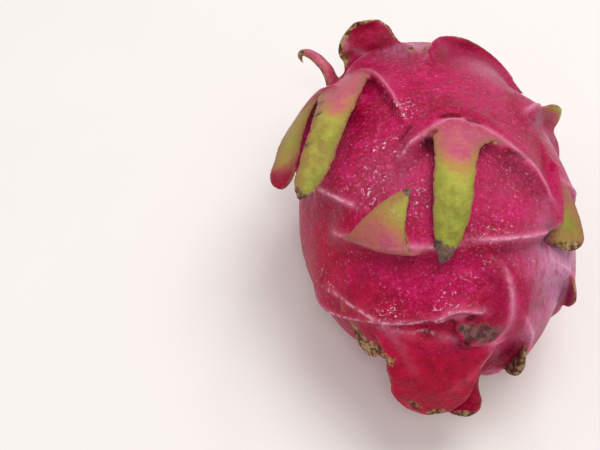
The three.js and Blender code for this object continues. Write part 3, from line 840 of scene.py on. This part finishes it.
class Nodes:
    """Small helpers for building a material's node tree."""

    def __init__(self, name):
        self.material = bpy.data.materials.new(name)
        self.material.use_nodes = True
        self.tree = self.material.node_tree
        self.shader = self.tree.nodes["Principled BSDF"]
        self.position = self.new("TexCoord", "Object")

    def put(self, socket, value):
        if isinstance(value, bpy.types.NodeSocket):
            self.tree.links.new(value, socket)
        else:
            socket.default_value = value

    def new(self, kind, output, inputs=(), **settings):
        """An output of a new node whose inputs are given by name or by place."""
        node = self.tree.nodes.new("ShaderNode" + kind)
        for key, value in settings.items():
            setattr(node, key, value)
        for key, value in dict(inputs).items():
            self.put(node.inputs[key], value)
        return node.outputs[output]

    def attribute(self, name):
        return self.new("Attribute", "Fac", attribute_name=name)

    def math(self, operation, *values):
        return self.new("Math", 0, enumerate(values), operation=operation)

    def times(self, a, b):
        return self.math("MULTIPLY", a, b)

    def plus(self, a, b):
        return self.math("ADD", a, b)

    def span(self, value, low, high, to_low=0.0, to_high=1.0):
        """A smooth step: to_low where the value is low, to_high where it is high."""
        inputs = enumerate((value, low, high, to_low, to_high))
        return self.new("MapRange", 0, inputs, interpolation_type="SMOOTHSTEP")

    def mix(self, share, a, b):
        return self.new("Mix", 2, {0: share, 6: a, 7: b}, data_type="RGBA")

    def layered(self, colour, layers):
        """A colour under layers that each have a share, the most that it counts for, and a tint."""
        for share, most, tint in layers:
            colour = self.mix(self.times(share, most), colour, tint)
        return colour

    def ramp(self, value, stops):
        colour = self.new("ValToRGB", 0, {0: value})
        elements = colour.node.color_ramp.elements
        while len(elements) < len(stops):
            elements.new(0.5)
        for element, (place, tint) in zip(elements, stops):
            element.position, element.color = place, tint
        return colour

    def noise(self, pitch, detail=2.0, rough=0.5, distort=0.0, stretch=None):
        """Noise with lumps of the given pitch in millimetres."""
        place = self.position
        if stretch:
            place = self.new("Mapping", 0, dict(Vector=place, Scale=stretch))
        shape = dict(Scale=1 / (pitch * METRE), Detail=detail, Roughness=rough, Distortion=distort)
        return self.new("TexNoise", "Fac", dict(Vector=place, **shape))

    def dots(self, pitch, radius, share):
        """Round dots in a share of the cells of the given pitch, with a radius given in cells."""
        inputs = dict(Vector=self.position, Scale=1 / (pitch * METRE))
        distance = self.new("TexVoronoi", "Distance", inputs)
        draw = self.new("SeparateColor", 0, {0: distance.node.outputs["Color"]})
        chosen = self.math("LESS_THAN", draw, share)
        size = self.span(draw.node.outputs[1], 0.0, 1.0, 0.5 * radius, radius)
        return self.times(self.span(self.math("DIVIDE", distance, size), 1.0, 0.6), chosen)

    def bump(self, height, distance, strength=1.0, onto=None):
        inputs = dict(Height=height, Distance=distance * METRE, Strength=strength)
        if onto is not None:
            inputs["Normal"] = onto
        return self.new("Bump", 0, inputs)

    def finish(self, **sockets):
        for name, value in sockets.items():
            self.put(self.shader.inputs[name.replace("_", " ")], value)
        return self.material


def rind_colour(n, mask, middle, grain):
    """Crimson, deeper in patches, with a fine grain, painted highlights along the crests, painted shade
    past them and in places, and a lavender, waxy film with a painted sheen.
    """
    skin = n.mix(n.span(n.noise(16, 3), 0.35, 0.68), rgb(154, 0, 50), rgb(182, 0, 78))
    crest_highlight = n.times(mask["crest_highlight"], n.span(middle, 0.3, 0.55, 0.5, 1.0))
    deep_red_and_shade = n.mix(n.span(middle, 0.3, 0.7), rgb(146, 0, 30), rgb(190, 0, 42))
    streaks = n.noise(1.3, 3, 0.65, 0.3, (1, 0.22, 0.6))
    waxy_sheen = n.times(mask["bloom"], n.span(streaks, 0.3, 0.62, 0.45, 1.0))
    return n.layered(skin, [
        (n.span(middle, 0.5, 0.72), 0.6, rgb(210, 30, 112)),
        (n.span(middle, 0.48, 0.3), 0.5, rgb(134, 0, 46)),
        (n.span(grain, 0.5, 0.74), 0.7, rgb(214, 48, 120)),
        (n.span(grain, 0.48, 0.28), 0.5, rgb(126, 0, 42)),
        # painted highlight along the crests
        (crest_highlight, 0.8, rgb(228, 132, 168)),
        # painted shade past the crests, under the scales
        (mask["crest_shade"], 0.4, rgb(128, 0, 38)),
        # deeper red: the scales' own, and painted shade
        (mask["deep_red_and_shade"], 0.85, deep_red_and_shade),
        # pale lavender: waxy film and painted sheen
        (n.math("MINIMUM", waxy_sheen, 0.85), 1.0, rgb(212, 152, 188)),
    ])


def leaf_colour(n, mask, middle, fine):
    """Lavender pink at the root, then orange, yellow-green, and olive towards tip and margins."""
    along = n.plus(mask["green"], n.span(middle, 0.3, 0.7, -0.11, 0.11))
    leaf = n.ramp(along, [
        (0.0, rgb(198, 80, 118)), (0.18, rgb(206, 108, 110)), (0.42, rgb(190, 142, 76)),
        (0.7, rgb(180, 180, 72)), (0.85, rgb(160, 166, 58)), (1.0, rgb(136, 136, 50)),
    ])
    blush = n.times(mask["blush"], n.span(middle, 0.3, 0.7, 0.6, 1.0))
    return n.layered(leaf, [
        (n.span(fine, 0.5, 0.8), 0.3, rgb(204, 192, 116)),
        (mask["edge"], 0.55, rgb(132, 110, 48)),
        (mask["shade"], 1.0, rgb(88, 70, 34)),
        (n.math("MINIMUM", blush, 1.0), 1.0, rgb(168, 100, 78)),
        # deeper red on the scales: their own, and painted shade where listed
        (mask["deep_red_and_shade"], n.span(mask["green"], 0.5, 0.0), rgb(140, 6, 44)),
    ])


def wet_marks(n, mask):
    """Painted glints of water: pale specks, beads and curled strokes, larger where it stands, and
    painted glints along the crests.
    """
    wet = n.span(n.plus(mask["wet"], n.span(n.noise(2.6, 2), 0.35, 0.65, -0.4, 0.2)), 0.2, 0.7)
    fine = n.times(n.span(n.noise(1.05, 2, 0.6), 0.62, 0.72), n.plus(n.times(wet, 0.5), 0.3))
    large = n.times(n.dots(1.6, 0.34, 0.5), n.plus(wet, 0.04))
    swirl = n.noise(3.4, 1, 0.5, 1.2)
    strokes = n.span(n.math("ABSOLUTE", n.math("SUBTRACT", swirl, 0.55)), 0.024, 0.01)
    strokes = n.times(strokes, n.times(wet, n.span(n.noise(1.4, 1), 0.42, 0.52)))
    # painted glints along the crests
    crest_glints = n.times(n.span(mask["crest_highlight"], 0.6, 0.95), n.span(n.noise(1.6, 2), 0.4, 0.6))
    marks = n.math("MAXIMUM", n.math("MAXIMUM", fine, large), strokes)
    bare = n.math("SUBTRACT", 1.0, n.times(mask["blade"], 0.8))
    return n.times(n.math("MAXIMUM", marks, n.times(crest_glints, 0.6)), bare)


def fruit_material(masks):
    n = Nodes("dragon_fruit_skin")
    mask = {name: n.attribute(name) for name in masks}
    middle, fine, grain = n.noise(3.4, 4, 0.6), n.noise(1.1, 3, 0.6), n.noise(1.0, 3, 0.65)
    skin = rind_colour(n, mask, middle, grain)
    colour = n.mix(mask["leaf"], skin, leaf_colour(n, mask, middle, fine))
    ragged = n.span(fine, 0.2, 0.8, -0.25, 0.25)
    tanned = n.plus(mask["tan"], ragged)
    rim = n.mix(n.span(n.noise(1.6, 2), 0.45, 0.55), rgb(98, 52, 42), rgb(206, 166, 124))
    withered = n.span(n.plus(mask["dry"], n.times(ragged, 1.2)), 0.3, 0.8)
    dead = n.mix(n.span(n.noise(1.8, 3, 0.6), 0.42, 0.6), rgb(84, 50, 36), rgb(176, 148, 104))
    wilted = n.mix(n.span(n.noise(1.8, 3, 0.6), 0.35, 0.65), rgb(72, 46, 52), rgb(114, 82, 82))
    wet = wet_marks(n, mask)
    colour = n.layered(colour, [
        (n.span(tanned, 0.25, 0.75), 0.8, rgb(150, 96, 74)),
        (n.span(tanned, 0.7, 1.0), 0.85, rim),
        (withered, 0.92, n.mix(mask["gray"], dead, wilted)),
        # painted shade in the creases
        (mask["crease"], 0.8, rgb(112, 0, 30)),
        # painted shade: pockets and pit nearly black
        (mask["dark"], 0.95, rgb(50, 2, 12)),
        # painted highlight: pale glints of the water drops
        (wet, 0.7, rgb(250, 206, 226)),
    ])
    rough = n.plus(n.span(middle, 0.3, 0.7, 0.3, 0.48), n.times(withered, 0.4))
    rough = n.plus(rough, n.times(wet, -0.22))
    normal = n.bump(n.noise(2.6, 3, 0.55, 0.6), 0.5, 1.0)
    normal = n.bump(grain, 0.35, 1.0, normal)
    normal = n.bump(wet, 0.2, 0.8, normal)
    return n.finish(
        Base_Color=colour, Roughness=rough, Normal=normal, Subsurface_Weight=0.06,
        Subsurface_Radius=(0.9, 0.15, 0.25), Subsurface_Scale=0.002, Coat_Weight=0.0,
        Specular_IOR_Level=0.14,
    )


def dry_material(name, light, dark):
    n = Nodes(name)
    grain = n.noise(0.8, 4, 0.65, 0.4, (1, 0.25, 1))
    colour = n.mix(n.span(grain, 0.35, 0.65), dark, light)
    colour = n.mix(n.span(n.noise(2.2, 3), 0.5, 0.75, 0, 0.6), colour, rgb(96, 70, 48))
    rough = n.span(grain, 0.3, 0.7, 0.75, 0.95)
    return n.finish(
        Base_Color=colour, Roughness=rough, Normal=n.bump(grain, 0.5), Specular_IOR_Level=0.3
    )


# --- the dry stub and scar ---


STUB_SUNK = 9  # mm from the end of the body to the foot of a stub
BEVEL, BEVEL_DROP = 0.9, 1.2  # mm across and down the outer rim
WALL_RINGS, BEVEL_RINGS = 14, 5
AXIS = 0.001  # mm: the radius of the smallest rings
TORN, TORN_NOISE, TORN_DEPTH = 0.45, (0.9, 7), (2.2, 0.3)  # of the outer face: mm, and mm down
FIBRE, FIBRE_NOISE, FIBRE_STRETCH = 0.18, (0.7, 8), [1, 1, 0.25]
RIBBED, ROUGH = (0.4, 0.9), (0.3, 1.5)  # from none to all: in radii, and in mm from the axis
RIB_RISE, FACE_DROP = 0.6, 0.3  # share of a rib that shows on the face, and mm


def stub_profile(radius, outer, inner, dish):
    """Radius and height of each ring, from the foot over the rim into the dish."""
    wall_top, rim = outer - BEVEL_DROP, radius - BEVEL
    rings = [(AXIS, inner)] + [(radius, y) for y in np.linspace(inner, wall_top, WALL_RINGS)]
    for t in np.linspace(1 / BEVEL_RINGS, 1, BEVEL_RINGS):
        rings.append((radius - BEVEL * t, wall_top + BEVEL_DROP * math.sin(t * math.pi / 2)))
    for r in np.linspace(rim, AXIS, STUB_RINGS - len(rings))[1:]:
        rings.append((r, outer - dish * (1 - (r / rim) ** 2)))
    return np.array(rings)


def stub_piece(name, radius, reach, dish, ribs, rib_depth, end):
    """A ribbed, fibrous stub whose outer face is dished and torn."""
    outer, inner = HALF_LENGTH + reach, HALF_LENGTH - STUB_SUNK
    profile = stub_profile(radius, outer, inner, dish)
    angle = np.arange(STUB_TURNS) / STUB_TURNS * 2 * math.pi
    r, y = profile[:, :1], profile[:, 1:]
    ribbed = smoothstep(r, *(share * radius for share in RIBBED))
    rib = rib_depth * np.cos(ribs * angle)[None, :] * ribbed
    at = np.stack([r * np.cos(angle), r * np.sin(angle), y + 0 * angle], -1).reshape(-1, 3)
    torn = noise(at, *TORN_NOISE).reshape(len(r), -1) * smoothstep(y, *(outer - d for d in TORN_DEPTH))
    fibre = noise(at * FIBRE_STRETCH, *FIBRE_NOISE).reshape(len(r), -1)
    r = r * (1 + 0 * angle) + (rib + FIBRE * fibre) * smoothstep(r, *ROUGH)
    y = y + RIB_RISE * rib * (y > inner + 1) + TORN * torn - FACE_DROP
    x, z = r * np.sin(angle), r * np.cos(angle)
    points = np.stack([x, end * y, end * z], -1).reshape(-1, 3) + CENTRE
    ring, turn = cells_of(len(profile) - 1, STUB_TURNS)
    here, after = ring * STUB_TURNS + turn, ring * STUB_TURNS + (turn + 1) % STUB_TURNS
    quads = np.stack([here, after, after + STUB_TURNS, here + STUB_TURNS], -1)
    piece = piece_from(name, mesh_from(name, points, quads))
    apply_modifier(piece, "WELD", merge_threshold=POLE_WELD * METRE)
    return piece


# --- stage ---

FLOOR_REACH, FLOOR_CELLS = 900, 24


def floor():
    side = FLOOR_CELLS + 1
    row, column = cells_of(side, side)
    steps = np.linspace(-FLOOR_REACH, FLOOR_REACH, side)
    points = np.stack([steps[row], steps[column], 0 * steps[row]], -1)
    quads = grid_quads(FLOOR_CELLS, FLOOR_CELLS)
    ground = piece_from("floor", mesh_from("floor", points, quads))
    n = Nodes("pale_floor")
    colour = n.mix(n.noise(60, 2), rgb(243, 239, 237), rgb(246, 243, 241))
    ground.data.materials.append(n.finish(Base_Color=colour, Roughness=0.6, Specular_IOR_Level=0.2))


def look_from(thing, place, target):
    """Puts a lamp or camera at a place, aimed at the target, both in millimetres."""
    back = unit(np.array(place, float) - np.array(target, float))
    side = unit(np.cross([0, 0, 1], back))
    up = np.cross(back, side)
    matrix = np.eye(4)
    matrix[:3] = np.stack([side, up, back, np.array(place) * METRE], -1)
    thing.matrix_world = Matrix(matrix.tolist())


def lamp(name, place, size, watts, colour):
    light = bpy.data.lights.new(name, "AREA")
    light.shape, light.size, light.energy, light.color = "DISK", size * METRE, watts, colour
    look_from(piece_from(name, light), place, CENTRE)


CAMERA_ELEVATION, CAMERA_AZIMUTH = 58, -4.5  # degrees
LENS, SENSOR = 65, 36
PIXELS_PER_MM = 3.0  # at the middle of the body
IMAGE_WIDTH, IMAGE_HEIGHT = 600, 450
BODY_AT = (432, 207)  # where the middle of the body falls in the image


def camera():
    elevation, azimuth = math.radians(CAMERA_ELEVATION), math.radians(CAMERA_AZIMUTH)
    back = np.array([math.sin(azimuth) * math.cos(elevation),
                     -math.cos(azimuth) * math.cos(elevation), math.sin(elevation)])
    right = np.array([math.cos(azimuth), math.sin(azimuth), 0])
    up = np.cross(back, right)
    focal = IMAGE_WIDTH * LENS / SENSOR
    distance = focal / PIXELS_PER_MM
    aside = (BODY_AT[0] - IMAGE_WIDTH / 2) / PIXELS_PER_MM
    above = -(BODY_AT[1] - IMAGE_HEIGHT / 2) / PIXELS_PER_MM
    place = CENTRE - (right * aside + up * above - back * distance)
    data = bpy.data.cameras.new("camera")
    data.lens, data.sensor_width, data.sensor_fit = LENS, SENSOR, "HORIZONTAL"
    data.clip_start, data.clip_end = 0.01, 20  # metres
    holder = piece_from("camera", data)
    look_from(holder, place, place - back)
    bpy.context.scene.camera = holder


SKY_COLOUR, SKY_STRENGTH = (1, 0.985, 0.97, 1), 0.58
LAMPS = [  # name, place and size in mm, watts, and colour
    ("key", (118, 50, 690), 400, 2.1, (1, 0.985, 0.965)),
    ("front", (-60, -300, 620), 90, 0.4, (1, 1, 1)),
    ("window", (-420, 60, 520), 90, 0.15, (1, 1, 1)),
    ("far", (160, 360, 560), 90, 0.25, (1, 1, 1)),
]


def light():
    world = bpy.data.worlds.new("studio")
    world.use_nodes = True
    sky = world.node_tree.nodes["Background"]
    sky.inputs["Color"].default_value = SKY_COLOUR
    sky.inputs["Strength"].default_value = SKY_STRENGTH
    bpy.context.scene.world = world
    for settings in LAMPS:
        lamp(*settings)
    bpy.context.scene.view_settings.view_transform = "Standard"


# --- putting it together ---

fruit = fruit_piece()
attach(fruit, "root")
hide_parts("fruit")

stem = stub_piece("dry_stem", **CUT_STEM, end=1)
stem.data.materials.append(dry_material("dry_stem_wood", rgb(170, 146, 106), rgb(110, 88, 62)))
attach(stem, "root")
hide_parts("cut_stem")

scar = stub_piece("dry_scar", **FLOWER_SCAR, end=-1)
scar.data.materials.append(dry_material("dry_scar_fibre", rgb(140, 116, 86), rgb(70, 50, 36)))
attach(scar, "root")
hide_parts("flower_scar")

floor()
light()
camera()
